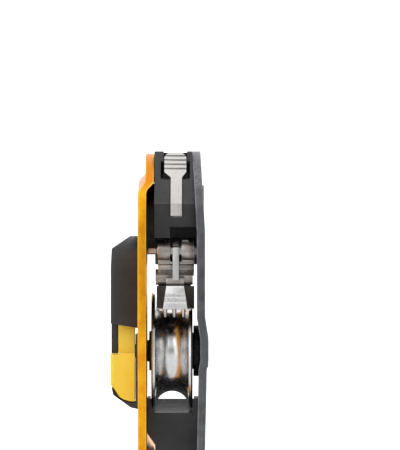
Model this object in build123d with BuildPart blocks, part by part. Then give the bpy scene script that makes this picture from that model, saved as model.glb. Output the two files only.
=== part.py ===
from build123d import *
import os
from math import atan2, cos, degrees, radians, sin

# Progress-capture rope clamp: a ball-bearing sheave and a toothed, sprung cam between a fixed
# side plate and a swinging side plate. Millimetres. The origin is the centre of the connector
# hole, +Z is up, +X runs from the swinging plate to the fixed plate, and -Y is the cam's side.

os.makedirs("parts", exist_ok=True)

# ---- driving dimensions -------------------------------------------------------------------
running = 0.08                  # radial clearance of a running fit

# outline shared by both side plates, seen along X: circles joined by their hull
swing_head_r, fixed_head_r = 21.1, 21.9  # round the connector hole
shoulder_y, shoulder_r = -10.0, 17.0
shoulder_top_z, shoulder_low_z = -3.0, -34.0
belly_r = 22.0                  # round the sheave
aux_z, aux_edge_r = -88.0, 15.0

# swinging plate (-X side): a flat sheet set inward at both ends
swing_out, swing_in = -10.8, -8.1
swing_set = 2.35                # how far its ends are set inward
fold_tilt = -9.5                # the upper fold falls towards both edges, degrees
fold_low, fold_high = 12.1, 14.6  # its outer skin, measured square to the fold
fold_in_low, fold_in_high = 12.6, 14.4  # and its inner skin
lower_fold_tilt = -10.4         # the lower fold falls towards the front edge
lower_fold_top, lower_fold_end = -71.4, -75.0
lower_fold_lag = 0.9            # its outer skin folds this much lower

# fixed plate (+X side)
fixed_in, fixed_thick = 8.0, 2.65
top_lean_z, top_lean = -4.0, 1.5  # the head leans inward above this height
jog_top, jog_end, jog_out = -31.4, -38.4, 1.1
foot_top, foot_mid, foot_end = -44.9, -48.0, -75.0
foot_out = 0.55                 # what is left of the jog between foot_mid and foot_end
bend_r = 2.0                    # at every bend of both plates
axle_face = fixed_in + jog_out + fixed_thick
countersink = 1.2

# connector ring
hole_r = 9.75
ring_r = 10.9
ring_flange_r, ring_flange = 11.9, 0.8
left_mouth, right_mouth = 1.25, 0.75  # rounded mouths; the hole is straight between them
washer_r = 11.4

# head block and lower block
block_left = -5.6
crease_y, crease_z = -23.5, 5.0
block_top_z = 21.75
block_foot_z = -6.0
lower_left = -5.4
lower_wide_left = -7.9
lower_wide_r, lower_narrow_r = 69.3, 72.9  # it narrows between these radii round the hole
cheek_top = -57.5
aux_hole_r, aux_ring_r = 8.5, 9.7

# cam and its axle
cam_y, cam_z = -16.0, -10.2
cam_mid = 1.2                   # middle of the cam's width
barrel_left, barrel_right = -4.4, 7.1
barrel_r = 3.6
roll_z, roll_r = -15.6, 1.35     # a roll across the front, below the barrel
axle_r, axle_tip_r = 2.0, 1.15
axle_tip_end = -7.65
shoulder_left, shoulder_right = -5.2, 6.7
tooth_pitch = 2.9
tooth_base_r, tooth_tip_r = 1.05, 0.3
tooth_long, front_tooth_long = 2.7, 3.5
tab_top, tab_low = -21.3, -28.6

# hold-open lever
lever_mid, lever_head_mid = 1.45, 1.1  # middles of its stem and of its head
lever_stem, lever_head = 3.6, 7.0
lever_y, lever_z = -19.2, 0.6
lever_pin_r = 0.9
hook_left, hook_right = 3.5, 5.0

# sheave, bearing and axle
sheave_z = -42.5
sheave_r, groove_r = 19.0, 13.0
sheave_gap = 0.6                # round the sheave in the lower block
sheave_half = 6.6
rope_groove_r = 5.4
bearing_half = 2.6
race_out_r, race_out_in_r = 10.5, 8.75
race_in_r, race_in_out_r = 4.5, 6.1
ball_pitch_r, ball_r, ball_count = 7.425, 1.3, 10
track_depth, ball_play = 0.5, 0.05
sheave_axle_r = 4.5

# latch on the swinging plate
latch_wide = 11.5               # half width of the cover
latch_face = -19.5
cover_top_z, cover_low_z = -5.4, -34.3
tongue_half, tongue_in = 4.3, -17.4
button_top_z, button_ledge_z = -27.6, -43.5
button_half, neck_half = 9.4, 7.5
button_travel = 5.0
neck_out, button_in = -17.2, -11.95
neck_cut, neck_cut_high, neck_mid_z = 5.8, 18.0, -34.0
pin_r = 2.2


# rivets
rivet_r = 1.6
rivet_foot = -1.0               # how deep the rivets reach into the blocks
rivet_spots = [(14.5, 6.0), (2.0, 16.0), (-7.0, -75.0), (7.0, -75.0)]
latch_rivet_r, latch_rivet_long = 1.3, 3.0
latch_rivet_spots = [(-9.6, -17.0), (9.6, -17.0), (-5.5, -52.0), (5.5, -52.0)]
lever_pin_long = 10.6
spring_slot_left, spring_slot = -0.55, 3.7
spring_leg_left, spring_leg = 0.25, 2.1


def plate_outline(head_r):
    """The outline of a side plate, drawn in the current sketch on Plane.YZ."""
    Circle(head_r)
    with Locations((shoulder_y, shoulder_top_z), (shoulder_y, shoulder_low_z)):
        Circle(shoulder_r)
    with Locations((0, sheave_z)):
        Circle(belly_r)
    with Locations((0, aux_z)):
        Circle(aux_edge_r)
    make_hull()


def disc_plane(x, y=0.0, z=0.0):
    """A sketch plane facing +X with its origin on a cross axis."""
    return Plane(origin=(x, y, z), x_dir=(0, 1, 0), z_dir=(1, 0, 0))


def finish(builder, name):
    """Label a finished piece and write it."""
    builder.part.label = name
    export_step(builder.part, "parts/" + name + ".step")


# ---- swinging side plate ------------------------------------------------------------------
# Two bent sheets, one for each end, share the flat middle; the outline then trims them.
def fold_plane(angle):
    """A section plane square to a fold that is tilted about X."""
    tilt = radians(angle)
    return Plane(origin=(0, 0, 0), x_dir=(1, 0, 0), z_dir=(0, -cos(tilt), sin(tilt)))


far = 130.0
middle_z, fold_overlap = -24.0, 10.0  # the two sheets overlap round this height
swing_hole_r = ring_r + running

with BuildPart() as swing_side_plate:
    with BuildSketch(fold_plane(fold_tilt)) as upper_section:
        Polygon(
            (swing_out, middle_z), (swing_in, middle_z),
            (swing_in, fold_in_low), (swing_in + swing_set, fold_in_high),
            (swing_in + swing_set, far), (swing_out + swing_set, far),
            (swing_out + swing_set, fold_high), (swing_out, fold_low),
            align=None)
        fillet(upper_section.vertices().filter_by(lambda v: 0 < v.Y < far / 2), radius=bend_r)
    extrude(amount=far, both=True)
    with BuildSketch(Plane.XZ):
        Rectangle(far, 4 * far)
    extrude(amount=far, mode=Mode.INTERSECT)
    mirror(about=Plane.XZ)
    with BuildSketch(fold_plane(lower_fold_tilt)) as lower_section:
        Polygon(
            (swing_out, middle_z + fold_overlap), (swing_in, middle_z + fold_overlap),
            (swing_in, lower_fold_top), (swing_in + swing_set, lower_fold_end),
            (swing_in + swing_set, -far), (swing_out + swing_set, -far),
            (swing_out + swing_set, lower_fold_end - lower_fold_lag),
            (swing_out, lower_fold_top - lower_fold_lag),
            align=None)
        fillet(lower_section.vertices().filter_by(lambda v: -far / 1.5 < v.Y < 2 * middle_z), radius=bend_r)
    extrude(amount=far, both=True)
    with BuildSketch(disc_plane(swing_out - 1)):
        plate_outline(swing_head_r)
    extrude(amount=8, mode=Mode.INTERSECT)
    with BuildSketch(disc_plane(swing_out - 1)):
        Circle(swing_hole_r)
        with Locations((0, aux_z)):
            Circle(aux_hole_r)
        with Locations((0, sheave_z)):
            Circle(pin_r + running)
    extrude(amount=8, mode=Mode.SUBTRACT)
    with BuildSketch(disc_plane(swing_out - 1)):
        Circle(ring_flange_r + 0.1)
    extrude(amount=1 + ring_flange + 0.05, mode=Mode.SUBTRACT)
    with BuildSketch(disc_plane(swing_out - 1)):
        with Locations(*latch_rivet_spots):
            Circle(latch_rivet_r)
    extrude(amount=8, mode=Mode.SUBTRACT)
finish(swing_side_plate, "swing_side_plate")


# ---- fixed side plate ---------------------------------------------------------------------
def fixed_skin(shift):
    """The fixed plate's section line, top to bottom, shifted outward."""
    return [(x + shift, z) for x, z in (
        (fixed_in - top_lean, fixed_head_r), (fixed_in, top_lean_z), (fixed_in, jog_top),
        (fixed_in + jog_out, jog_end), (fixed_in + jog_out, foot_top),
        (fixed_in + foot_out, foot_mid), (fixed_in, foot_end), (fixed_in, -far))]


def bend_corners(section):
    """The corners of a bent sheet's section that are bends, not sheet ends."""
    return section.vertices().filter_by(
        lambda v: foot_end - 1 < v.Y < fixed_head_r - 1 and v.X < far / 2)


with BuildPart() as fixed_side_plate:
    with BuildSketch(Plane.XZ) as fixed_section:
        Polygon(*fixed_skin(0), *reversed(fixed_skin(fixed_thick)), align=None)
        fillet(bend_corners(fixed_section), radius=bend_r)
    extrude(amount=far, both=True)
    with BuildSketch(disc_plane(0)):
        plate_outline(fixed_head_r)
    extrude(amount=far, mode=Mode.INTERSECT)
    with BuildSketch(disc_plane(0)):
        Circle(ring_r)
        with Locations((0, aux_z)):
            Circle(aux_ring_r)
        with Locations((0, sheave_z)):
            Circle(sheave_axle_r)
        with Locations((cam_y, cam_z)):
            Circle(axle_r)
        with Locations(*rivet_spots):
            Circle(rivet_r)
    extrude(amount=far, mode=Mode.SUBTRACT)
    with BuildSketch(disc_plane(axle_face - countersink, 0, sheave_z)):
        Circle(sheave_axle_r)
    extrude(amount=countersink, taper=-45, mode=Mode.SUBTRACT)
finish(fixed_side_plate, "fixed_side_plate")

# everything beyond the plate's inner skin, and everything past its outer one
with BuildPart(mode=Mode.PRIVATE) as beyond_fixed_plate:
    with BuildSketch(Plane.XZ) as inner_section:
        Polygon(*fixed_skin(0), (far, -far), (far, fixed_head_r), align=None)
        fillet(bend_corners(inner_section), radius=bend_r)
    extrude(amount=far, both=True)

with BuildPart(mode=Mode.PRIVATE) as past_fixed_plate:
    with BuildSketch(Plane.XZ) as outer_section:
        Polygon(*fixed_skin(fixed_thick), (far, -far), (far, fixed_head_r), align=None)
        fillet(bend_corners(outer_section), radius=bend_r)
    extrude(amount=far, both=True)


# ---- connector ring and the washer that spaces the swinging plate from the head -------------
ring_end = fixed_in + fixed_thick - 0.4
with BuildPart() as connector_ring:
    with BuildSketch(disc_plane(swing_out)):
        Circle(ring_flange_r)
    extrude(amount=ring_flange)
    with BuildSketch(disc_plane(swing_out)):
        Circle(ring_r)
    extrude(amount=ring_end - swing_out)
    with BuildSketch(disc_plane(swing_out)):
        Circle(hole_r)
    extrude(amount=ring_end - swing_out, mode=Mode.SUBTRACT)
    for end, mouth_round in ((0, left_mouth), (-1, right_mouth)):
        fillet(connector_ring.edges().filter_by(GeomType.CIRCLE).filter_by(
            lambda edge: abs(edge.radius - hole_r) < 0.01).sort_by(Axis.X)[end],
            radius=mouth_round)
finish(connector_ring, "connector_ring")

with BuildPart() as pivot_washer:
    with BuildSketch(disc_plane(swing_in + 0.05)):
        Circle(washer_r)
        Circle(ring_r, mode=Mode.SUBTRACT)
    extrude(amount=block_left - swing_in - 0.05)
finish(pivot_washer, "pivot_washer")


# ---- head block ---------------------------------------------------------------------------
# Fills the gap between the plates round the connector hole; its front has two facets.
facet_y, block_r = -9.5, 20.8
lower_facet_y = -22.0
facet_slope = degrees(atan2(block_top_z - crease_z, facet_y - crease_y))
upper_facet = Plane(
    origin=(0, crease_y, crease_z), x_dir=(1, 0, 0),
    z_dir=(0, -sin(radians(facet_slope)), cos(radians(facet_slope))))

with BuildPart() as head_block:
    with BuildSketch(disc_plane(block_left)):
        with BuildLine():
            Polyline(
                (0, block_r), (facet_y, block_top_z), (crease_y, crease_z),
                (lower_facet_y, block_foot_z), (4, block_foot_z), (14, -14.8))
            ThreePointArc((14, -14.8), (block_r, 0), (0, block_r))
        make_face()
    extrude(amount=20)
    add(beyond_fixed_plate.part, mode=Mode.SUBTRACT)
    # bore for the connector ring
    with BuildSketch(disc_plane(block_left)):
        Circle(ring_r)
    extrude(amount=20, mode=Mode.SUBTRACT)
    # recess behind the lever's head, and the slot that its stem lies in
    with BuildSketch(upper_facet):
        with Locations((lever_head_mid, 14.0)):
            Rectangle(lever_head + 2.3, 7.4)
        with Locations((lever_head_mid, 17.0)):
            Rectangle(lever_head + 0.5, 14.0)
        with Locations((lever_mid, 6.0)):
            Rectangle(lever_stem + 0.4, 14.0)
    extrude(amount=-5.6, mode=Mode.SUBTRACT)
    # slot through the front, and space behind it for the lever's eye, hook and spring
    with BuildSketch(Plane.XZ.offset(-crease_y + 2)):
        with Locations((lever_mid, 3.4)):
            Rectangle(lever_stem + 0.4, 5.6)
    extrude(amount=-8, mode=Mode.SUBTRACT)
    with BuildSketch(disc_plane(lever_mid - lever_stem / 2 - 0.2)):
        Polygon(
            (-21.9, -7.0), (-21.9, 2.0), (-20.5, 7.0), (-13.6, 7.0), (-13.6, -7.0), align=None)
    extrude(amount=hook_right + 0.4 - lever_mid + lever_stem / 2, mode=Mode.SUBTRACT)
    with BuildSketch(Plane.XZ.offset(-crease_y + 2)):
        with Locations(((-0.55 + 12) / 2, -5.0)):
            Rectangle(12.55, 5.0)
    extrude(amount=-13.5, mode=Mode.SUBTRACT)
    # lever pin and rivets
    with BuildSketch(disc_plane(block_left + 1.5)):
        with Locations((lever_y, lever_z)):
            Circle(lever_pin_r)
    extrude(amount=lever_pin_long, mode=Mode.SUBTRACT)
    with BuildSketch(disc_plane(rivet_foot)):
        with Locations(*rivet_spots):
            Circle(rivet_r)
    extrude(amount=20, mode=Mode.SUBTRACT)
    fillet(head_block.edges().filter_by(Axis.X).filter_by(
        lambda edge: abs(edge.center().Z - crease_z) < 0.3 and edge.center().Y < crease_y + 0.3),
        radius=0.5)
finish(head_block, "head_block")


# ---- lower block and auxiliary ring ---------------------------------------------------------
# The cheeks end in a cone round the connector hole, so that the swinging plate's inset foot
# clears them all the way round.
with BuildPart(mode=Mode.PRIVATE) as lower_cheeks:
    with BuildSketch(Plane.XY):
        Polygon(
            (lower_wide_left, 0), (lower_wide_left, lower_wide_r), (lower_left, lower_narrow_r),
            (far, lower_narrow_r), (far, 0), align=None)
    revolve(axis=Axis.X)
    with BuildSketch(disc_plane(lower_wide_left)):
        with Locations((0, cheek_top - 8.0)):
            Rectangle(23.0, 16.0)
    extrude(amount=20, mode=Mode.INTERSECT)

with BuildPart() as lower_block:
    with BuildSketch(disc_plane(lower_left)):
        with Locations((0, aux_z)):
            Circle(13.0)
        with Locations((0, -66.0)):
            Rectangle(21.0, 7.0)
        make_hull()
    extrude(amount=20)
    add(lower_cheeks.part)
    add(beyond_fixed_plate.part, mode=Mode.SUBTRACT)
    with BuildSketch(disc_plane(-sheave_half - 0.35)):
        with Locations((0, sheave_z)):
            Circle(sheave_r + sheave_gap)
        # the rope leaves at the front, so the slot is open there down to its lowest point
        with Locations((-far / 2, sheave_z - (sheave_r + sheave_gap) / 2)):
            Rectangle(far, sheave_r + sheave_gap)
    extrude(amount=2 * (sheave_half + 0.35), mode=Mode.SUBTRACT)
    with BuildSketch(disc_plane(lower_wide_left)):
        with Locations((0, aux_z)):
            Circle(aux_ring_r)
    extrude(amount=20, mode=Mode.SUBTRACT)
    with BuildSketch(disc_plane(rivet_foot)):
        with Locations(*rivet_spots):
            Circle(rivet_r)
    extrude(amount=20, mode=Mode.SUBTRACT)
finish(lower_block, "lower_block")

foot_face = fixed_in + fixed_thick
with BuildPart() as aux_ring:
    with BuildSketch(disc_plane(lower_left, 0, aux_z)):
        Circle(aux_ring_r)
        Circle(aux_hole_r, mode=Mode.SUBTRACT)
    extrude(amount=foot_face - lower_left)
    fillet(aux_ring.edges().filter_by(GeomType.CIRCLE).filter_by(
        lambda edge: abs(edge.radius - aux_hole_r) < 0.01), radius=0.5)
finish(aux_ring, "aux_ring")


# ---- rivets that hold the two blocks to the fixed plate -------------------------------------
with BuildPart() as frame_rivets:
    for y, z in rivet_spots:
        with BuildSketch(disc_plane(rivet_foot, y, z)):
            Circle(rivet_r)
        extrude(amount=far)
    add(past_fixed_plate.part, mode=Mode.SUBTRACT)
finish(frame_rivets, "frame_rivets")


# ---- hold-open lever, its pin and spring ----------------------------------------------------
# Its stem lies on the block's facets; an eye inside turns on the pin, and a hook hangs
# over the cam's notch.
stem_thick = 1.7
stem_proud = 0.35
with BuildPart() as hold_open_lever:
    with BuildSketch(upper_facet.offset(stem_proud)):
        with Locations((lever_mid, 7.0)):
            Rectangle(lever_stem, 15.0)
        with BuildLine():
            Polyline(
                (lever_mid - lever_stem / 2, 10.6), (lever_head_mid - lever_head / 2, 12.8),
                (lever_head_mid - lever_head / 2, 19.6), (lever_head_mid - lever_head / 2 + 1.3, 20.9),
                (lever_head_mid + lever_head / 2 - 1.3, 20.9), (lever_head_mid + lever_head / 2, 19.6),
                (lever_head_mid + lever_head / 2, 12.8), (lever_mid + lever_stem / 2, 10.6),
                close=True)
        make_face()
    extrude(amount=-stem_thick)
    with BuildSketch(disc_plane(lever_mid - lever_stem / 2)):
        with BuildLine():
            Polyline(
                (crease_y - 0.45, crease_z), (crease_y + 0.2, 1.0), (crease_y + 1.9, 1.0),
                (lever_y, lever_z - 1.9),
                (lever_y + 1.9, lever_z), (lever_y, lever_z + 1.9), (crease_y + 2.4, 4.8),
                (crease_y + 1.6, 6.2), close=True)
        make_face()
    extrude(amount=lever_stem)
    with BuildSketch(disc_plane(lever_mid - lever_stem / 2)):
        with Locations((lever_y, lever_z)):
            Circle(1.9)
    extrude(amount=hook_right - lever_mid + lever_stem / 2)
    with BuildSketch(disc_plane(hook_left)):
        with BuildLine():
            Polyline(
                (lever_y - 1.2, lever_z), (lever_y + 0.9, -2.0), (lever_y + 2.2, -2.4),
                (lever_y + 1.9, lever_z), close=True)
        make_face()
    extrude(amount=hook_right - hook_left)
    with BuildSketch(disc_plane(lever_mid - lever_stem / 2)):
        with Locations((lever_y, lever_z)):
            Circle(lever_pin_r + running)
    extrude(amount=20, mode=Mode.SUBTRACT)
    # grip ridges across the head
    with BuildSketch(upper_facet.offset(stem_proud + 0.25)):
        with Locations(*[(lever_mid, 14.2 + 1.8 * step) for step in range(4)]):
            Rectangle(lever_head + 1, 0.75)
    extrude(amount=-0.75, mode=Mode.SUBTRACT)
finish(hold_open_lever, "hold_open_lever")

with BuildPart() as lever_pin:
    with BuildSketch(disc_plane(block_left + 1.5, lever_y, lever_z)):
        Circle(lever_pin_r)
    extrude(amount=lever_pin_long)
finish(lever_pin, "lever_pin")

with BuildPart() as lever_spring:
    with BuildSketch(disc_plane(lever_mid - lever_stem / 2 + 0.2, -15.6, 3.4)):
        Circle(1.3)
        Circle(0.8, mode=Mode.SUBTRACT)
    extrude(amount=lever_stem - 0.4)
finish(lever_spring, "lever_spring")


# ---- cam, its spring and its axle -----------------------------------------------------------
def from_sheave(angle, radius):
    """A point in Y and Z at a radius round the sheave; angle 0 is +Y and 90 is up."""
    return (radius * cos(radians(angle)), sheave_z + radius * sin(radians(angle)))


def spring_leg_outline():
    """The spring's flat leg, which lies down the front of the cam."""
    Polygon(
        (cam_y - 2.6, cam_z + 1.6), (cam_y - 4.2, cam_z + 1.2), (cam_y - 6.9, cam_z - 9.4),
        (cam_y - 6.1, cam_z - 9.4), (cam_y - 4.4, cam_z - 4.5), (cam_y - 3.0, cam_z - 1.0),
        align=None)


bite_r = 25.2                   # the toothed face lies on this circle round the sheave
tooth_angles = (145.5, 138.0, 130.0, 121.5)
with BuildPart() as cam:
    # barrel round the axle, with the roll and shoulders under it
    with BuildSketch(disc_plane(barrel_left)):
        with Locations((cam_y, cam_z)):
            Circle(barrel_r)
        Polygon(
            (cam_y - 2.0, cam_z), (cam_y + 3.5, cam_z), (cam_y + 4.2, roll_z - 2.5),
            (cam_y - 2.4, roll_z - 2.5), align=None)
        with Locations((cam_y - 2.7, roll_z)):
            Circle(roll_r)
    extrude(amount=barrel_right - barrel_left)
    # body between the barrel and the toothed face
    with BuildSketch(disc_plane(shoulder_left)):
        with BuildLine():
            Polyline(
                from_sheave(tooth_angles[0] + 2.5, bite_r), (cam_y - 6.0, -26.0),
                (cam_y - 4.2, -20.4), (cam_y - 5.3, -18.0), (cam_y - 3.4, -16.6),
                (cam_y + 2.4, -16.0),
                from_sheave(tooth_angles[-1] - 4, bite_r))
            ThreePointArc(
                from_sheave(tooth_angles[-1] - 4, bite_r), from_sheave(134, bite_r),
                from_sheave(tooth_angles[0] + 2.5, bite_r))
        make_face()
    extrude(amount=shoulder_right - shoulder_left)
    # hollow sides: the lower body is narrower than the shoulders
    with BuildSketch(Plane.XZ.offset(-cam_y + 12)):
        with Locations((cam_mid - 6.4, -23.4), (cam_mid + 6.3, -23.4)):
            Rectangle(7.4, 7.0)
    extrude(amount=-11.5, mode=Mode.SUBTRACT)
    with BuildSketch(Plane.XZ.offset(-cam_y + 12)):
        with Locations((cam_mid - 7.4, -28.0), (cam_mid + 7.2, -28.0)):
            Rectangle(4.6, 14.0)
    extrude(amount=-20, mode=Mode.SUBTRACT)
    # neck, and the thumb tab that widens downwards
    with BuildSketch(Plane.XZ.offset(-cam_y + 3.0)):
        with Locations((cam_mid - 0.1, -20.6)):
            Rectangle(5.6, 3.4)
    extrude(amount=3.4)
    with BuildSketch(disc_plane(cam_mid)):
        Polygon(
            (cam_y - 4.0, tab_top), (cam_y - 7.4, tab_top), (cam_y - 8.3, -23.6),
            (cam_y - 8.5, tab_low), (cam_y - 4.0, tab_low), align=None)
    extrude(amount=6, both=True)
    with BuildSketch(Plane.XZ.offset(-cam_y + 12)):
        Polygon(
            (cam_mid - 2.9, tab_top), (cam_mid - 20, tab_top), (cam_mid - 20, tab_low),
            (cam_mid - 4.0, tab_low), align=None)
        Polygon(
            (cam_mid + 2.7, tab_top), (cam_mid + 20, tab_top), (cam_mid + 20, tab_low),
            (cam_mid + 3.8, tab_low), align=None)
    extrude(amount=-7.0, mode=Mode.SUBTRACT)
    # ridges of the tab
    with BuildSketch(Plane.XZ.offset(-cam_y + 9)):
        with Locations((cam_mid, -24.5), (cam_mid, -26.1)):
            Rectangle(9.0, 0.4)
    extrude(amount=-1.4, mode=Mode.SUBTRACT)
    # teeth in rows across the face, each row staggered from the next
    for row, angle in enumerate(tooth_angles):
        foot_y, foot_z = from_sheave(angle, bite_r + 0.6)
        lean = 117 if row else 110
        for step in range(3 + row % 2):
            x = cam_mid - 0.4 + tooth_pitch * (step - (2 + row % 2) / 2)
            down = Plane(
                origin=(x, foot_y, foot_z), x_dir=(1, 0, 0),
                z_dir=(0, -cos(radians(lean)), -sin(radians(lean))))
            with Locations(down):
                Cone(tooth_base_r, tooth_tip_r, tooth_long if row else front_tooth_long,
                     align=(Align.CENTER, Align.CENTER, Align.MIN))
    # axle bore, notch for the lever's hook and slot for the spring
    with BuildSketch(disc_plane(barrel_left - 2)):
        with Locations((cam_y, cam_z)):
            Circle(axle_r + running)
    extrude(amount=20, mode=Mode.SUBTRACT)
    with BuildSketch(disc_plane(hook_left - 0.2)):
        with Locations((cam_y - 0.5, cam_z + barrel_r)):
            Rectangle(3.0, 1.6)
    extrude(amount=hook_right - hook_left + 0.4, mode=Mode.SUBTRACT)
    with BuildSketch(disc_plane(spring_slot_left)):
        with Locations((cam_y, cam_z)):
            Circle(barrel_r + 0.5)
    extrude(amount=spring_slot, mode=Mode.SUBTRACT)
    with BuildSketch(disc_plane(spring_leg_left - 0.1)):
        spring_leg_outline()
        offset(amount=0.12)
    extrude(amount=spring_leg + 0.2, mode=Mode.SUBTRACT)
finish(cam, "cam")

with BuildPart() as cam_spring:
    with BuildSketch(disc_plane(spring_leg_left)):
        with Locations((cam_y, cam_z)):
            Circle(3.3)
            Circle(axle_r + 0.2, mode=Mode.SUBTRACT)
    extrude(amount=spring_leg)
    with BuildSketch(disc_plane(spring_leg_left)):
        spring_leg_outline()
    extrude(amount=spring_leg)
finish(cam_spring, "cam_spring")

with BuildPart() as cam_axle:
    with BuildSketch(disc_plane(axle_tip_end)):
        with Locations((cam_y, cam_z)):
            Circle(axle_tip_r)
    extrude(amount=4)
    with BuildSketch(disc_plane(barrel_left - 0.5)):
        with Locations((cam_y, cam_z)):
            Circle(axle_r)
    extrude(amount=fixed_in + fixed_thick - barrel_left + 0.5)
finish(cam_axle, "cam_axle")


# ---- sheave, bearing and axle ---------------------------------------------------------------
# Half sections in X and radius, turned about the axle.
sheave_axis = Axis((0, 0, sheave_z), (1, 0, 0))
with BuildPart() as sheave:
    with BuildSketch(Plane(origin=(0, 0, sheave_z), x_dir=(1, 0, 0), z_dir=(0, -1, 0))):
        with BuildLine():
            Polyline(
                (-sheave_half + 0.35, race_out_r), (-sheave_half + 0.35, groove_r),
                (-sheave_half, groove_r + 0.6), (-sheave_half, sheave_r - 0.5),
                (-sheave_half + 0.5, sheave_r), (-rope_groove_r, sheave_r - 0.3))
            ThreePointArc(
                (-rope_groove_r, sheave_r - 0.3), (0, groove_r), (rope_groove_r, sheave_r - 0.3))
            Polyline(
                (rope_groove_r, sheave_r - 0.3), (sheave_half - 0.5, sheave_r),
                (sheave_half, sheave_r - 0.5), (sheave_half, groove_r + 0.6),
                (sheave_half - 0.35, groove_r), (sheave_half - 0.35, race_out_r),
                (-sheave_half + 0.35, race_out_r))
        make_face()
    revolve(axis=sheave_axis)
finish(sheave, "sheave")


with BuildPart() as bearing_outer_ring:
    with BuildSketch(disc_plane(-bearing_half, 0, sheave_z)):
        Circle(race_out_r)
        Circle(race_out_in_r - track_depth, mode=Mode.SUBTRACT)
    extrude(amount=2 * bearing_half)
    with Locations((0, 0, sheave_z)):
        Torus(ball_pitch_r, ball_r + ball_play, rotation=(0, 90, 0), mode=Mode.SUBTRACT)
finish(bearing_outer_ring, "bearing_outer_ring")

with BuildPart() as bearing_inner_ring:
    with BuildSketch(disc_plane(-bearing_half, 0, sheave_z)):
        Circle(race_in_out_r + track_depth)
        Circle(race_in_r, mode=Mode.SUBTRACT)
    extrude(amount=2 * bearing_half)
    with Locations((0, 0, sheave_z)):
        Torus(ball_pitch_r, ball_r + ball_play, rotation=(0, 90, 0), mode=Mode.SUBTRACT)
finish(bearing_inner_ring, "bearing_inner_ring")

ball_angles = [360 / ball_count * step for step in range(ball_count)]
with BuildPart() as bearing_balls:
    for angle in ball_angles:
        with Locations((0, ball_pitch_r * cos(radians(angle)),
                        sheave_z + ball_pitch_r * sin(radians(angle)))):
            Sphere(ball_r)
finish(bearing_balls, "bearing_balls")

with BuildPart() as bearing_cage:
    with BuildSketch(disc_plane(-1.7, 0, sheave_z)):
        Circle(ball_pitch_r + 0.55)
        Circle(ball_pitch_r - 0.55, mode=Mode.SUBTRACT)
    extrude(amount=3.4)
    for angle in ball_angles:
        with Locations((0, ball_pitch_r * cos(radians(angle)),
                        sheave_z + ball_pitch_r * sin(radians(angle)))):
            Sphere(ball_r + ball_play, mode=Mode.SUBTRACT)
finish(bearing_cage, "bearing_cage")

with BuildPart() as bearing_seals:
    for side in (-1, 1):
        with BuildSketch(disc_plane(side * (bearing_half + 0.35) - 0.3, 0, sheave_z)):
            Circle(race_out_r)
            Circle(race_in_out_r + 0.9, mode=Mode.SUBTRACT)
        extrude(amount=0.6)
finish(bearing_seals, "bearing_seals")

with BuildPart() as sheave_axle:
    with BuildSketch(disc_plane(-sheave_half - 0.05, 0, sheave_z)):
        Circle(sheave_axle_r)
    extrude(amount=axle_face + sheave_half + 0.05)
    with BuildSketch(disc_plane(axle_face - countersink, 0, sheave_z)):
        Circle(sheave_axle_r)
    extrude(amount=countersink, taper=-45)
finish(sheave_axle, "sheave_axle")

with BuildPart() as axle_cap:
    with BuildSketch(disc_plane(-sheave_half - 0.8, 0, sheave_z)):
        Circle(6.4)
    extrude(amount=0.75)
    with BuildSketch(disc_plane(swing_in + 0.1, 0, sheave_z)):
        Circle(3.5)
    extrude(amount=-sheave_half - 0.8 - swing_in - 0.1)
finish(axle_cap, "axle_cap")

with BuildPart() as axle_sleeves:
    for left, right, outer in ((-sheave_half - 0.05, -bearing_half, 5.9),
                               (bearing_half, sheave_half + 0.25, 5.9)):
        with BuildSketch(disc_plane(left, 0, sheave_z)):
            Circle(outer)
            Circle(sheave_axle_r, mode=Mode.SUBTRACT)
        extrude(amount=right - left)
finish(axle_sleeves, "axle_sleeves")

with BuildPart() as axle_spacer:
    with BuildSketch(disc_plane(sheave_half + 0.25, 0, sheave_z)):
        Circle(8.2)
        Circle(sheave_axle_r, mode=Mode.SUBTRACT)
    extrude(amount=fixed_in + jog_out - sheave_half - 0.25)
    add(beyond_fixed_plate.part, mode=Mode.SUBTRACT)
finish(axle_spacer, "axle_spacer")


# ---- latch on the swinging plate ------------------------------------------------------------
def latch_outline(half, top, low, low_r):
    """A latch piece seen along X: round at the top, with rounded lower corners."""
    with Locations((0, top - half)):
        Circle(half)
    with Locations((low_r - half, low + low_r), (half - low_r, low + low_r)):
        Circle(low_r)
    make_hull()


plate_face = swing_out
cavity_top = -21.0
with BuildPart() as latch_cover:
    with BuildSketch(Plane.XZ):
        Polygon(
            (plate_face, cover_top_z), (plate_face - 2.7, cover_top_z),
            (latch_face + 0.1, -9.5), (latch_face - 0.15, -16.0), (latch_face - 0.15, -33.5),
            (plate_face, cover_low_z - 0.7), align=None)
    extrude(amount=latch_wide, both=True)
    with BuildSketch(disc_plane(plate_face)):
        latch_outline(latch_wide, cover_top_z, -42.0, 1.0)
    extrude(amount=-12, mode=Mode.INTERSECT)
    fillet(latch_cover.edges().filter_by(
        lambda edge: edge.center().X < latch_face + 0.6 and abs(edge.center().Y) > latch_wide - 1),
        radius=1.2)
    with BuildSketch(Plane.XZ):
        Polygon(
            (latch_face, -31.0), (tongue_in, -31.0), (tongue_in, button_ledge_z + 0.3),
            (latch_face, button_ledge_z + 0.3), align=None)
    extrude(amount=tongue_half, both=True)
    with BuildSketch(Plane.XZ):
        Polygon(
            (neck_out - 0.2, cavity_top), (button_in + 0.35, cavity_top),
            (button_in + 0.35, -37.0), (neck_out - 0.2, -37.0), align=None)
    extrude(amount=neck_half + 0.25, both=True, mode=Mode.SUBTRACT)
    with BuildSketch(disc_plane(plate_face)):
        with Locations(*latch_rivet_spots[:2]):
            Circle(latch_rivet_r)
    extrude(amount=-latch_rivet_long, mode=Mode.SUBTRACT)
finish(latch_cover, "latch_cover")

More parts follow.
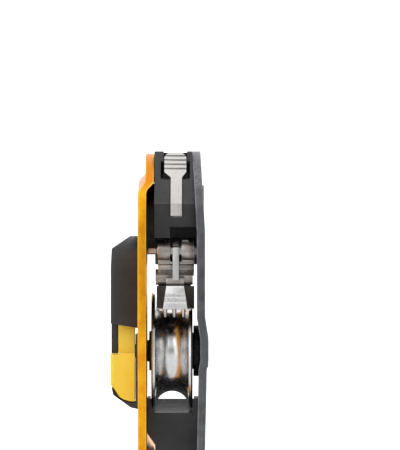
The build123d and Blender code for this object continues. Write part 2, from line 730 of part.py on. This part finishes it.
with BuildPart() as latch_button:
    with BuildSketch(Plane.XZ):
        with BuildLine():
            Polyline(
                (button_in, -58.5), (button_in, button_top_z), (neck_out, button_top_z),
                (neck_out, button_ledge_z), (latch_face - 0.3, button_ledge_z),
                (latch_face - 0.2, -53.2), (-17.1, -57.0))
            ThreePointArc((-17.1, -57.0), (-14.8, -58.1), (button_in, -58.5))
        make_face()
    extrude(amount=button_half, both=True)
    # the neck is narrower than the thumb part
    with BuildSketch(Plane.YZ.offset(latch_face - 1)):
        with Locations((-neck_half - neck_cut / 2, neck_mid_z), (neck_half + neck_cut / 2, neck_mid_z)):
            Rectangle(neck_cut, neck_cut_high)
    extrude(amount=12, mode=Mode.SUBTRACT)
    fillet(latch_button.edges().filter_by(
        lambda edge: edge.center().X < neck_out - 0.5 and edge.center().Z < button_ledge_z - 1
        and abs(edge.center().Y) > button_half - 0.1), radius=1.2)
    # channel for the cover's tongue, and a slot round the locking pin
    with BuildSketch(disc_plane(latch_face - 1)):
        with Locations((0, button_ledge_z - 1.0)):
            Rectangle(2 * tongue_half + 0.5, 2 * button_travel - 1.2)
    extrude(amount=1 + tongue_in + 0.25 - latch_face, mode=Mode.SUBTRACT)
    with BuildSketch(disc_plane(button_in)):
        with Locations((0, sheave_z - button_travel / 2)):
            SlotCenterToCenter(button_travel, 2 * pin_r + 0.5, rotation=90)
    extrude(amount=-4.6, mode=Mode.SUBTRACT)
finish(latch_button, "latch_button")

with BuildPart() as latch_base:
    with BuildSketch(Plane.XZ):
        with BuildLine():
            Polyline(
                (plate_face, -37.0), (button_in + 0.3, -37.0), (button_in + 0.3, -58.9))
            ThreePointArc((button_in + 0.3, -58.9), (-14.8, -58.5), (-17.3, -57.4))
            Polyline(
                (-17.3, -57.4), (latch_face + 0.1, -54.0), (-18.9, -56.4),
                (-13.2, -60.5), (plate_face, -61.0), (plate_face, -37.0))
        make_face()
    extrude(amount=button_half, both=True)
    with BuildSketch(disc_plane(plate_face)):
        with Locations((0, sheave_z)):
            Circle(pin_r + running)
        with Locations(*latch_rivet_spots[2:]):
            Circle(latch_rivet_r)
    extrude(amount=-2.0, mode=Mode.SUBTRACT)
finish(latch_base, "latch_base")

with BuildPart() as latch_rivets:
    for spot, (y, z) in enumerate(latch_rivet_spots):
        long = latch_rivet_long if spot < 2 else button_in * -1 + plate_face - 0.35
        with BuildSketch(disc_plane(swing_in, y, z)):
            Circle(latch_rivet_r)
        extrude(amount=-(swing_in - plate_face) - long)
finish(latch_rivets, "latch_rivets")

with BuildPart() as latch_spring:
    with BuildSketch(Plane.XY.offset(button_top_z)):
        with Locations(((neck_out + button_in) / 2, 0)):
            Circle(1.9)
            Circle(1.1, mode=Mode.SUBTRACT)
    extrude(amount=cavity_top - button_top_z)
finish(latch_spring, "latch_spring")

with BuildPart() as locking_pin:
    with BuildSketch(disc_plane(swing_in - 0.05, 0, sheave_z)):
        Circle(pin_r)
    extrude(amount=-(swing_in - 0.05 + 13.9))
finish(locking_pin, "locking_pin")
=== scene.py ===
import math

import bpy
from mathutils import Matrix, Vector


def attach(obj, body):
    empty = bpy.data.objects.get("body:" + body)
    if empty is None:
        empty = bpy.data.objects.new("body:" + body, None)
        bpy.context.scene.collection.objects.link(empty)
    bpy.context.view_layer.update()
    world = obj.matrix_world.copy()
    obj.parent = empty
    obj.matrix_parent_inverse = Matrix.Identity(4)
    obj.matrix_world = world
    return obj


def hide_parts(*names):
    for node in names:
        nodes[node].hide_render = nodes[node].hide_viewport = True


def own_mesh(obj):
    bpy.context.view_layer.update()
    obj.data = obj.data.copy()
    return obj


# The looks of a rope clamp pulley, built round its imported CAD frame. Metres; +Z is up, the
# cam's side faces -Y, and the swinging plate is on the -X side.

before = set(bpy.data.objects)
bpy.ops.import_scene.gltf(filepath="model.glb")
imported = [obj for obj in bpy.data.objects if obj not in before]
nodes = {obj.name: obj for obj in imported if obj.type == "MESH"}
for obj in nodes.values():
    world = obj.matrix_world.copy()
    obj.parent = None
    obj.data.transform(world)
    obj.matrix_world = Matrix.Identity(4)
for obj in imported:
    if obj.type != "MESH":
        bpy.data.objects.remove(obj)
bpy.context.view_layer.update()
scene = bpy.context.scene
MM = 0.001
Y, Z = 1, 2                     # numbers of the object's axes


# ---- shader helpers -----------------------------------------------------------------------
class Shader:
    """A node material round one Principled shader."""

    def __init__(self, name, color, rough, metallic=0.0, **sockets):
        self.material = bpy.data.materials.new(name)
        self.material.use_nodes = True
        self.tree = self.material.node_tree
        self.bsdf = self.tree.nodes["Principled BSDF"]
        self.set(self.bsdf, "Base Color", (*color, 1.0))
        self.set(self.bsdf, "Roughness", rough)
        self.set(self.bsdf, "Metallic", metallic)
        for key, value in sockets.items():
            self.set(self.bsdf, key.replace("_", " "), value)
        self.place = self.add("ShaderNodeTexCoord").outputs["Object"]
        self.normal = None

    def add(self, kind, **props):
        node = self.tree.nodes.new(kind)
        for key, value in props.items():
            setattr(node, key, value)
        return node

    @staticmethod
    def set(node, socket, value):
        node.inputs[socket].default_value = value

    def link(self, a, b):
        self.tree.links.new(a, b)

    def stretch(self, scale):
        """The object's coordinates scaled by a different factor along each axis."""
        node = self.add("ShaderNodeMapping")
        self.set(node, "Scale", scale)
        self.link(self.place, node.inputs["Vector"])
        return node.outputs["Vector"]

    def noise(self, scale, detail=4.0, roughness=0.6, stretch=(1, 1, 1)):
        node = self.add("ShaderNodeTexNoise")
        self.set(node, "Scale", scale)
        self.set(node, "Detail", detail)
        self.set(node, "Roughness", roughness)
        self.link(self.stretch(stretch), node.inputs["Vector"])
        return node.outputs["Fac"]

    def zone(self, axis, low, high, to_low=0.0, to_high=1.0):
        """A ramp along one of the object's axes, between two places in metres."""
        if not hasattr(self, "axes"):
            self.axes = self.add("ShaderNodeSeparateXYZ")
            self.link(self.place, self.axes.inputs[0])
        return self.span(self.axes.outputs[axis], low, high, to_low, to_high)

    def cells(self, scale):
        node = self.add("ShaderNodeTexVoronoi")
        self.set(node, "Scale", scale)
        self.link(self.place, node.inputs["Vector"])
        return node.outputs["Distance"]

    def span(self, value, low, high, to_low=0.0, to_high=1.0):
        node = self.add("ShaderNodeMapRange")
        for socket, number in (("From Min", low), ("From Max", high),
                               ("To Min", to_low), ("To Max", to_high)):
            self.set(node, socket, number)
        self.link(value, node.inputs["Value"])
        return node.outputs["Result"]

    def math(self, kind, a, b):
        node = self.add("ShaderNodeMath", operation=kind)
        for socket, value in zip(node.inputs, (a, b)):
            if isinstance(value, (int, float)):
                socket.default_value = value
            else:
                self.link(value, socket)
        return node.outputs[0]

    def mix(self, factor, a, b):
        node = self.add("ShaderNodeMix", data_type="RGBA")
        if isinstance(factor, (int, float)):
            node.inputs["Factor"].default_value = factor
        else:
            self.link(factor, node.inputs["Factor"])
        # a Mix node keeps its colours A and B at inputs 6 and 7, and their blend at output 2
        for socket, value in ((node.inputs[6], a), (node.inputs[7], b)):
            if isinstance(value, tuple):
                socket.default_value = (*value, 1.0)
            else:
                self.link(value, socket)
        return node.outputs[2]

    def edges(self, radius=0.00035):
        """1 on the convex and concave edges of the piece, 0 on its faces."""
        bevel = self.add("ShaderNodeBevel", samples=4)
        self.set(bevel, "Radius", radius)
        geometry = self.add("ShaderNodeNewGeometry")
        dot = self.add("ShaderNodeVectorMath", operation="DOT_PRODUCT")
        self.link(bevel.outputs["Normal"], dot.inputs[0])
        self.link(geometry.outputs["Normal"], dot.inputs[1])
        return self.span(dot.outputs["Value"], 0.995, 0.90)

    def bump(self, height, strength, distance):
        node = self.add("ShaderNodeBump")
        self.set(node, "Strength", strength)
        self.set(node, "Distance", distance)
        self.link(height, node.inputs["Height"])
        if self.normal is not None:
            self.link(self.normal, node.inputs["Normal"])
        self.normal = node.outputs["Normal"]
        self.link(self.normal, self.bsdf.inputs["Normal"])

    def color(self, output):
        self.link(output, self.bsdf.inputs["Base Color"])

    def rough(self, output):
        self.link(output, self.bsdf.inputs["Roughness"])


def anodised(name, base, deep, wear_and_highlight, rough, grain, grain_size, head=None):
    """Anodised aluminium: satin grain, slight blotches, and a paler tone along the edges that is
    partly wear and partly a painted highlight.

    The head is a painted tone above the upper bend for how light falls on it: painted shade on
    the gold plate, painted light on the grey one."""
    s = Shader(name, base, rough, 1.0)
    blotch = s.span(s.noise(180, 3), 0.35, 0.7)
    speck = s.noise(grain_size, 5, 0.7)
    tone = s.mix(blotch, base, deep)
    tone = s.mix(s.span(speck, 0.35, 0.75, 0.0, 0.45), tone, deep)
    # painted light on the head: painted shade on the gold plate's head and painted light on the
    # grey plate's head, above the upper bend
    if head:
        painted_head_light = s.zone(Z, 8 * MM, 12 * MM)
        tone = s.mix(painted_head_light, tone, s.mix(s.span(speck, 0.3, 0.7), head, deep))
    # paler edges: partly wear, partly a painted highlight along the edges
    patchy_wear_and_highlight = s.math("MULTIPLY", s.edges(0.0007), s.span(s.noise(420, 4), 0.35, 0.62, 0.25, 1.0))
    s.color(s.mix(s.math("MULTIPLY", patchy_wear_and_highlight, 0.8), tone, wear_and_highlight))
    s.rough(s.span(s.noise(900, 4), 0.3, 0.7, rough - 0.07, rough + 0.10))
    s.bump(speck, grain, 0.0002)
    s.bump(s.span(s.noise(240, 2, stretch=(1, 1, 6)), 0.55, 0.75), 0.08, 0.0001)
    return s.material


def moulded(name, base, light, rough, grain=0.25, grain_size=2600, **sockets):
    """Moulded plastic: fine spark-eroded grain, scuffs, and paler rubbed edges."""
    s = Shader(name, base, rough, 0.0, **sockets)
    scuff = s.span(s.noise(260, 6, 0.75, (1, 1, 4)), 0.55, 0.72)
    tone = s.mix(s.span(s.noise(90, 3), 0.3, 0.7, 0.0, 0.5), base, light)
    tone = s.mix(s.math("MULTIPLY", s.edges(), s.span(s.noise(500, 4), 0.45, 0.65, 0.0, 0.8)),
                 tone, light)
    s.color(s.mix(s.math("MULTIPLY", scuff, 0.35), tone, light))
    s.rough(s.span(s.noise(700, 4), 0.3, 0.7, rough - 0.06, rough + 0.10))
    s.bump(s.noise(grain_size, 3), grain, 0.00012)
    return s.material


def brushed(name, base, dark, rough, stretch, depth=0.25, scale=700):
    """Bare metal with a grain along one direction and darker patches."""
    s = Shader(name, base, rough, 1.0)
    grain = s.noise(scale, 6, 0.7, stretch)
    tone = s.mix(s.span(grain, 0.3, 0.7, 0.0, 0.5), base, dark)
    tone = s.mix(s.span(s.noise(160, 3), 0.55, 0.75, 0.0, 0.5), tone, dark)
    s.color(tone)
    s.rough(s.span(grain, 0.3, 0.7, rough - 0.06, rough + 0.12))
    s.bump(grain, depth, 0.00008)
    return s.material


def cast_steel(name, base, dark, rough):
    """Cast steel: pebbled skin, brown patches, painted shade on the sides beside the tab, and a
    polished tab and teeth.
    """
    s = Shader(name, base, rough, 1.0)
    pebble = s.cells(2600)
    tone = s.mix(s.span(s.noise(220, 4), 0.3, 0.7), base, dark)
    rubbed = s.math("MULTIPLY", s.edges(0.0005), s.span(s.noise(350, 4), 0.4, 0.6))
    tone = s.mix(rubbed, tone, (0.78, 0.76, 0.73))
    # painted shade: a near-black tone on the cam behind the tab's face, between the roll and the
    # teeth, where shade falls
    below_roll = s.zone(Z, -20.2 * MM, -20.8 * MM)
    behind_tab = s.zone(Y, -22.9 * MM, -22.5 * MM)
    above_teeth = s.zone(Z, -28.6 * MM, -28.2 * MM)
    painted_shade_flanks = s.math("MULTIPLY", below_roll, behind_tab)
    painted_shade_flanks = s.math("MULTIPLY", painted_shade_flanks, above_teeth)
    tone = s.mix(s.math("MULTIPLY", painted_shade_flanks, 0.93), tone, (0.03, 0.026, 0.024))
    tab_height = s.zone(Z, -21.0 * MM, -21.3 * MM)
    tab_face = s.zone(Y, -22.9 * MM, -23.2 * MM)
    teeth = s.zone(Z, -28.5 * MM, -28.9 * MM)
    polished = s.math("MULTIPLY", tab_height, tab_face)
    polished = s.math("MAXIMUM", polished, teeth)
    s.color(s.mix(polished, tone, (0.80, 0.80, 0.79)))
    s.rough(s.span(s.noise(600, 4), 0.3, 0.7, rough - 0.06, rough + 0.10))
    s.bump(pebble, 0.22, 0.00015)
    s.bump(s.noise(1500, 4), 0.15, 0.0001)
    return s.material


def turned(name, base, dark, rough, axis_z):
    """Metal turned on a lathe about X: fine rings round the sheave's axis."""
    s = Shader(name, base, rough, 1.0)
    shift = s.add("ShaderNodeVectorMath", operation="SUBTRACT")
    s.link(s.place, shift.inputs[0])
    shift.inputs[1].default_value = (0.0, 0.0, axis_z)
    flat = s.add("ShaderNodeVectorMath", operation="MULTIPLY")
    s.link(shift.outputs[0], flat.inputs[0])
    flat.inputs[1].default_value = (0.0, 1.0, 1.0)
    length = s.add("ShaderNodeVectorMath", operation="LENGTH")
    s.link(flat.outputs[0], length.inputs[0])
    rings = s.add("ShaderNodeTexNoise", noise_dimensions="1D")
    s.set(rings, "Scale", 6500.0)
    s.set(rings, "Detail", 3.0)
    s.link(length.outputs["Value"], rings.inputs["W"])
    tone = s.mix(s.span(rings.outputs["Fac"], 0.3, 0.7, 0.0, 0.45), base, dark)
    s.color(s.mix(s.span(s.noise(200, 4), 0.55, 0.75, 0.0, 0.4), tone, dark))
    s.rough(s.span(s.noise(500, 4), 0.3, 0.7, rough - 0.05, rough + 0.10))
    s.bump(rings.outputs["Fac"], 0.18, 0.00006)
    return s.material


def block_plastic(name, upper, painted_shade_lower, line):
    """The head block: a paler line along the crease and painted shade on the face below it."""
    s = Shader(name, upper, 0.46)
    crease = 5.0 * MM
    crease_line_half = 0.25 * MM
    # painted shade: the face below the crease takes the darker copy of the colour
    tone = s.mix(s.zone(Z, crease - 0.2 * MM, crease), painted_shade_lower, upper)
    front = s.zone(Y, -22.8 * MM, -23.2 * MM)
    # a paler line along the crease, on the block's front
    crease_line = s.math("MULTIPLY", s.zone(Z, crease - crease_line_half, crease),
                  s.zone(Z, crease + crease_line_half, crease))
    crease_line = s.math("MULTIPLY", crease_line, front)
    tone = s.mix(crease_line, tone, line)
    tone = s.mix(s.span(s.noise(90, 3), 0.3, 0.7, 0.0, 0.3), tone, line)
    rubbed = s.math("MULTIPLY", s.edges(), s.span(s.noise(500, 4), 0.45, 0.65, 0.0, 0.7))
    s.color(s.mix(rubbed, tone, line))
    s.rough(s.span(s.noise(700, 4), 0.3, 0.7, 0.40, 0.56))
    s.bump(s.noise(2600, 3), 0.25, 0.00012)
    return s.material


# ---- materials ----------------------------------------------------------------------------
AXLE_Z = -0.0425
gold = anodised("gold_anodised", (1.0, 0.50, 0.02), (0.80, 0.28, 0.008), (1.0, 0.78, 0.18),
                0.33, 0.35, 2300, (0.62, 0.20, 0.012))
grey = anodised("grey_anodised", (0.155, 0.157, 0.165), (0.085, 0.086, 0.092),
                (0.42, 0.42, 0.43), 0.40, 0.6, 1500, (0.24, 0.24, 0.25))
black_anodised = anodised("black_anodised", (0.035, 0.035, 0.038), (0.02, 0.02, 0.022),
                          (0.3, 0.3, 0.3), 0.38, 0.3, 2400)
black_block = moulded("black_block", (0.016, 0.016, 0.018), (0.038, 0.038, 0.041), 0.46)
head_plastic = block_plastic("head_plastic", (0.018, 0.018, 0.020), (0.008, 0.008, 0.009),
                             (0.070, 0.070, 0.075))
black_plastic = moulded("black_plastic", (0.018, 0.018, 0.020), (0.042, 0.042, 0.045), 0.42)
yellow_plastic = moulded("yellow_plastic", (1.0, 0.66, 0.012), (1.0, 0.80, 0.12), 0.36, 0.15)
steel = brushed("steel", (0.58, 0.58, 0.57), (0.35, 0.34, 0.33), 0.28, (1, 1, 8))
bearing_steel = turned("bearing_steel", (0.66, 0.66, 0.66), (0.45, 0.45, 0.45), 0.18, AXLE_Z)
cam_steel = cast_steel("cam_steel", (0.50, 0.46, 0.43), (0.26, 0.23, 0.21), 0.30)
lever_steel = brushed("lever_steel", (0.64, 0.635, 0.62), (0.44, 0.43, 0.42), 0.34, (7, 1, 1))
sheave_metal = turned("sheave_aluminium", (0.78, 0.78, 0.78), (0.55, 0.55, 0.55), 0.20, AXLE_Z)
rubber = moulded("seal_rubber", (0.016, 0.016, 0.016), (0.035, 0.035, 0.035), 0.62)
cage_plastic = moulded("cage_plastic", (0.55, 0.53, 0.45), (0.65, 0.63, 0.55), 0.5)


# ---- CAD nodes that keep their shape --------------------------------------------------------
def dress(name, material, bevel=0.0):
    """Gives a CAD node its material and softens its edges with modifiers."""
    node = nodes[name]
    node.data.materials.clear()
    node.data.materials.append(material)
    node.data.shade_smooth()
    if bevel:
        weld = node.modifiers.new("weld", "WELD")
        weld.merge_threshold = 2e-6
        flat = node.modifiers.new("flat", "DECIMATE")
        flat.decimate_type = "DISSOLVE"
        flat.angle_limit = math.radians(0.4)
        round_off = node.modifiers.new("round_off", "BEVEL")
        round_off.width = bevel
        round_off.segments = 3
        round_off.limit_method = "ANGLE"
        round_off.angle_limit = math.radians(34.0)
        round_off.harden_normals = True
    return node


dress("swing_side_plate", gold, 0.45 * MM)
dress("fixed_side_plate", grey, 0.45 * MM)
dress("head_block", head_plastic, 0.25 * MM)
dress("lower_block", black_block, 0.3 * MM)
dress("connector_ring", black_anodised)
dress("pivot_washer", black_plastic)
dress("aux_ring", black_anodised)
dress("frame_rivets", steel, 0.3 * MM)
dress("lever_pin", steel)
dress("lever_spring", steel)
dress("cam_axle", steel, 0.2 * MM)
dress("sheave_axle", steel, 0.3 * MM)
dress("axle_cap", black_plastic, 0.15 * MM)
dress("axle_sleeves", black_plastic)
dress("axle_spacer", black_plastic, 0.2 * MM)
dress("bearing_inner_ring", bearing_steel)
dress("latch_cover", black_plastic, 0.3 * MM)
dress("latch_base", black_plastic, 0.2 * MM)
dress("latch_rivets", steel)
dress("latch_button", yellow_plastic, 0.3 * MM)
dress("locking_pin", steel)
dress("cam", cam_steel, 0.2 * MM)
dress("cam_spring", lever_steel, 0.15 * MM)
dress("hold_open_lever", lever_steel, 0.2 * MM)
dress("sheave", sheave_metal)
dress("bearing_outer_ring", bearing_steel)
dress("bearing_seals", rubber)
dress("bearing_balls", bearing_steel)
dress("bearing_cage", cage_plastic)


# ---- the button's spring, a real coil ---------------------------------------------------------
def coil(name, middle, mean_r, wire_r, low, high, turns, material):
    """A compression spring along Z, swept round a helix, with tighter turns at its ends."""
    around, steps = 10, 28
    tightening = 0.35
    count = int(turns * steps)
    points, faces = [], []
    for i in range(count + 1):
        t = i / count
        # the pitch is tightest at both ends and widest in the middle
        rise = t - tightening * math.sin(2 * math.pi * t) / (2 * math.pi)
        a = 2 * math.pi * turns * t
        z = low + wire_r + rise * (high - low - 2 * wire_r)
        for j in range(around):
            b = 2 * math.pi * j / around
            r = mean_r + wire_r * math.cos(b)
            points.append((middle[0] + r * math.cos(a), middle[1] + r * math.sin(a),
                           z + wire_r * math.sin(b)))
    for i in range(count):
        for j in range(around):
            k = (j + 1) % around
            faces.append((i * around + j, i * around + k,
                          (i + 1) * around + k, (i + 1) * around + j))
    faces.append(tuple(reversed(range(around))))
    faces.append(tuple(count * around + j for j in range(around)))
    mesh = bpy.data.meshes.new(name)
    mesh.from_pydata(points, [], faces)
    mesh.shade_smooth()
    mesh.materials.append(material)
    spring = bpy.data.objects.new(name, mesh)
    scene.collection.objects.link(spring)
    return spring


SPRING_X = -14.575 * MM         # middle of the button's cavity
SPRING_LOW, SPRING_HIGH = -27.6 * MM, -21.0 * MM
button_spring = coil("button_spring", (SPRING_X, 0.0), 1.6 * MM, 0.24 * MM,
                     SPRING_LOW, SPRING_HIGH, 6.0, steel)
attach(button_spring, "swing_plate")
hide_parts("latch_spring")
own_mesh(button_spring)


# ---- floor, light and camera ----------------------------------------------------------------
def studio_material():
    s = Shader("studio_white", (0.93, 0.93, 0.93), 0.9)
    s.set(s.bsdf, "Emission Color", (1.0, 1.0, 1.0, 1.0))
    s.link(s.zone(Y, 0.1, 1.5, 0.0, 0.85), s.bsdf.inputs["Emission Strength"])
    return s.material


def studio():
    """A pale floor that curves up into a backdrop."""
    floor_z, half, front, curve_y, curve_r, top = -0.150, 4.0, -4.0, 2.0, 1.0, 4.0
    steps = 16
    profile = [(front, floor_z)]
    for step in range(steps + 1):
        a = math.pi / 2 * step / steps
        profile.append((curve_y + curve_r * math.sin(a), floor_z + curve_r * (1 - math.cos(a))))
    profile.append((curve_y + curve_r, top))
    mesh = bpy.data.meshes.new("studio_floor")
    points = [(x, y, z) for y, z in profile for x in (-half, half)]
    faces = [(2 * i, 2 * i + 1, 2 * i + 3, 2 * i + 2) for i in range(len(profile) - 1)]
    mesh.from_pydata(points, [], faces)
    mesh.shade_smooth()
    mesh.materials.append(studio_material())
    floor = bpy.data.objects.new("studio_floor", mesh)
    scene.collection.objects.link(floor)


def softbox(name, place, target, width, height, power):
    light = bpy.data.lights.new(name, "AREA")
    light.shape = "RECTANGLE"
    light.size = width
    light.size_y = height
    light.energy = power
    lamp = bpy.data.objects.new(name, light)
    lamp.location = place
    lamp.rotation_euler = (Vector(target) - Vector(place)).to_track_quat("-Z", "Y").to_euler()
    scene.collection.objects.link(lamp)


studio()
middle = (0.0, 0.0, -0.03)
softbox("key_left", (-0.55, -0.55, 0.35), middle, 1.0, 1.3, 4.2)
softbox("fill_right", (0.60, -0.45, 0.15), middle, 1.0, 1.3, 1.5)
softbox("front", (0.05, -0.9, 0.30), middle, 0.8, 0.4, 0.5)
softbox("top", (0.0, 0.05, 0.70), middle, 1.0, 1.0, 3.0)

world = bpy.data.worlds.new("studio_air")
world.use_nodes = True
world.node_tree.nodes["Background"].inputs["Color"].default_value = (1.0, 1.0, 1.0, 1.0)
world.node_tree.nodes["Background"].inputs["Strength"].default_value = 0.30
scene.world = world
scene.view_settings.view_transform = "Standard"

# The camera looks straight along +Y at the cam's edge, a little to the fixed plate's side.
CAMERA_AWAY = 1.50
CAMERA_X, CAMERA_Z = 0.0090, -0.0019
VIEW_WIDTH = 0.127              # width of the view at the plates' front edges
FRONT_Y = -0.025
SENSOR = 36.0
camera_data = bpy.data.cameras.new("camera")
camera_data.sensor_fit = "HORIZONTAL"
camera_data.sensor_width = SENSOR
camera_data.lens = SENSOR * (CAMERA_AWAY + FRONT_Y) / VIEW_WIDTH
camera_data.clip_start = 0.01
camera = bpy.data.objects.new("camera", camera_data)
camera.location = (CAMERA_X, -CAMERA_AWAY, CAMERA_Z)
camera.rotation_euler = (math.radians(90), 0, 0)
scene.collection.objects.link(camera)
scene.camera = camera
